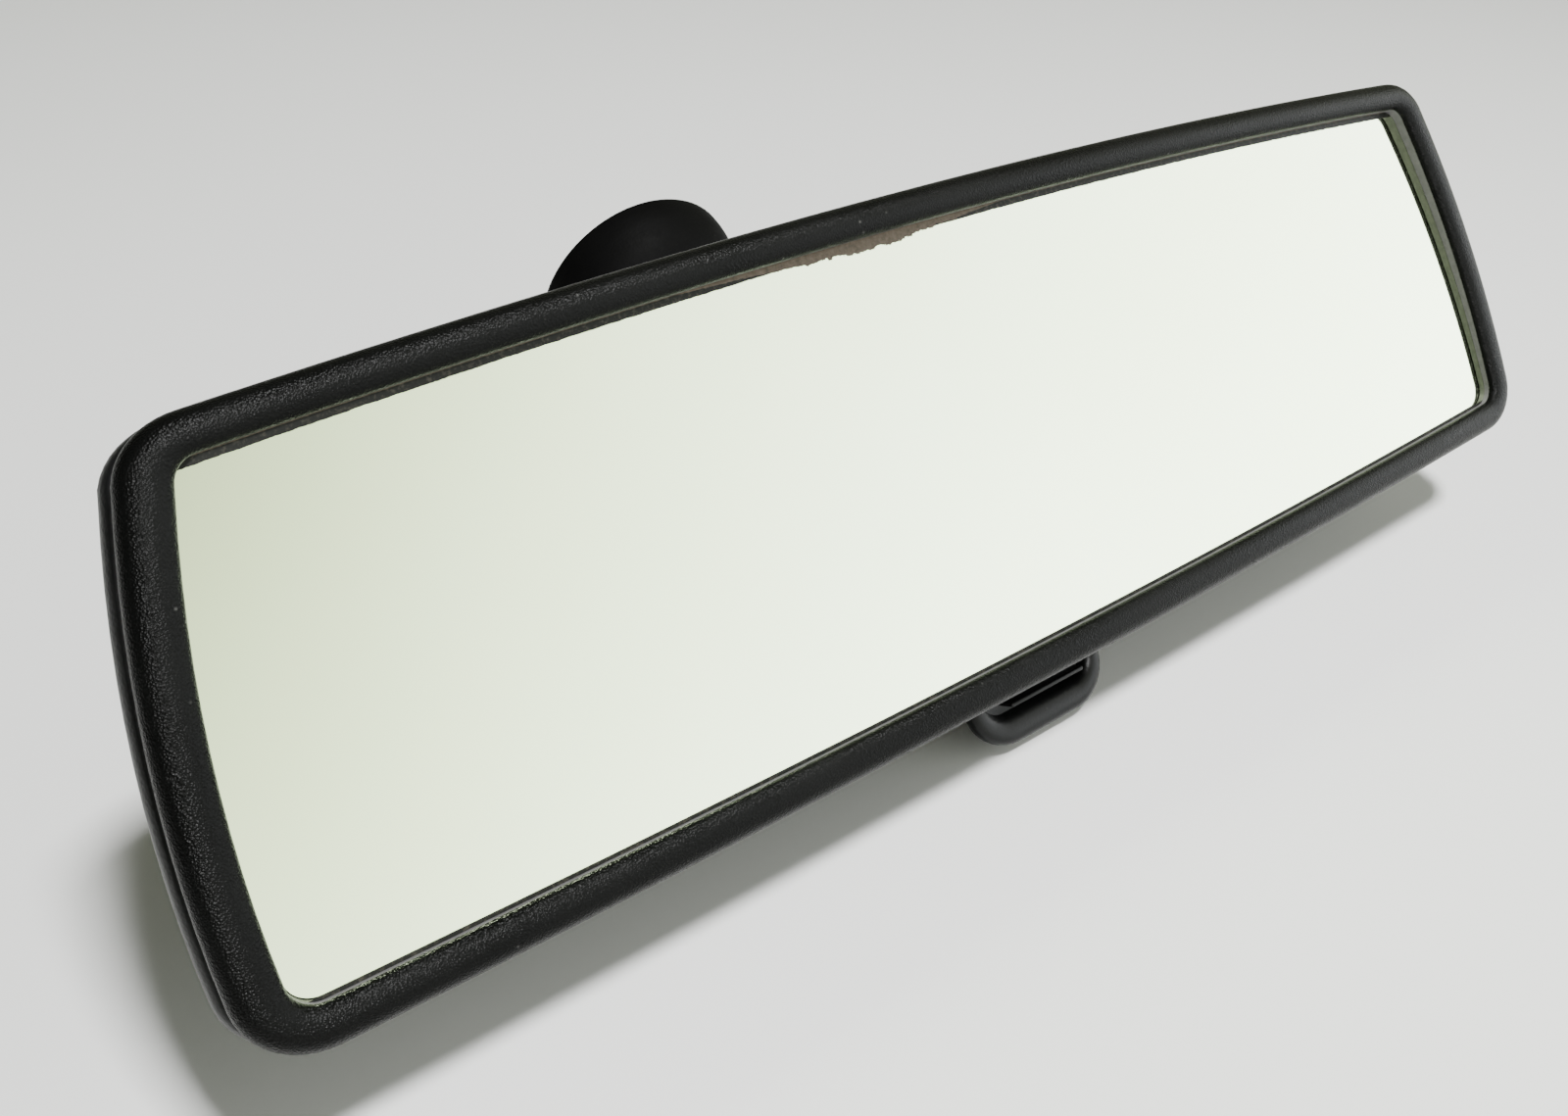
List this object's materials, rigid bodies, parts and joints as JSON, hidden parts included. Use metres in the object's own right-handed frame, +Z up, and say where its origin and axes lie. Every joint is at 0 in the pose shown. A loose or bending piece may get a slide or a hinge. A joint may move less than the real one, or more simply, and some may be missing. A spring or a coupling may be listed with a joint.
{
  "type": "interior rearview mirror",
  "caption": "Day/night prismatic rearview mirror head in a black frame with a toggle lever, on a ball-jointed arm with a domed windscreen foot.",
  "frame": {"origin": "centre of the flat windscreen face of the foot", "axes": "+Z up, +X along the mirror head, and +Y forward, towards the windscreen that the foot is fixed to; the glass faces -Y and up"},
  "size_m": [0.2546, 0.1427, 0.0812],
  "materials": {
    "bezel_plastic": "fine moulded grain, satin",
    "housing_plastic": "satin",
    "silvered_glass": "polished, silvered on the back",
    "backing_film": "matte paint and film",
    "foam": "open foam",
    "steel": "zinc plated",
    "lever_plastic": "satin",
    "cast_bracket": "as cast, dark",
    "seat_plastic": "natural",
    "arm_paint": "satin black paint"
  },
  "bodies": {
    "foot": {"foot_base": "cast_bracket", "foot_cover": "housing_plastic", "bayonet_spring": "steel", "bayonet_rivet": "steel", "support_arm": "arm_paint", "arm_cross_pin": "steel", "ball_stud": "steel"},
    "pan_link": {"ball_seat_rear": "seat_plastic"},
    "tilt_link": {"ball_seat_front": "seat_plastic"},
    "bracket": {"pivot_bracket": "cast_bracket", "socket_cap": "cast_bracket", "socket_screw_left": "steel", "socket_screw_right": "steel", "seat_spring": "steel", "detent_spring": "steel", "detent_rivet": "steel"},
    "head": {"rear_housing": "housing_plastic", "front_bezel": "bezel_plastic", "mirror_glass": "silvered_glass", "shatter_film": "backing_film", "foam_pad_left": "foam", "foam_pad_right": "foam", "pivot_pin": "steel", "lever_pin": "steel"},
    "lever": {"toggle_lever": "lever_plastic"}
  },
  "joints": [
    {"name": "head_pan", "type": "hinge", "parent": "foot", "child": "pan_link", "pos_m": [0, -0.0954, 0.01614], "axis": [0, 0.5736, 0.8192], "range_deg": [-18, 18]},
    {"name": "head_tilt", "type": "hinge", "parent": "pan_link", "child": "tilt_link", "pos_m": [0, -0.0954, 0.01614], "axis": [-1, 0, 0], "range_deg": [-5, 18]},
    {"name": "head_roll", "type": "hinge", "parent": "tilt_link", "child": "bracket", "pos_m": [0, -0.0954, 0.01614], "axis": [0, -0.8192, 0.5736], "range_deg": [-6, 6]},
    {"name": "day_night_tilt", "type": "hinge", "parent": "bracket", "child": "head", "pos_m": [0, -0.09646, 0.03641], "axis": [-1, 0, 0], "range_deg": [0, 3.5]},
    {"name": "lever_flip", "type": "hinge", "parent": "head", "child": "lever", "pos_m": [0, -0.12276, -0.00377], "axis": [-1, 0, 0], "range_deg": [0, 28]}
  ],
  "couplings": [
    {"joint": "lever_flip", "follows": "day_night_tilt", "ratio": 8}
  ]
}
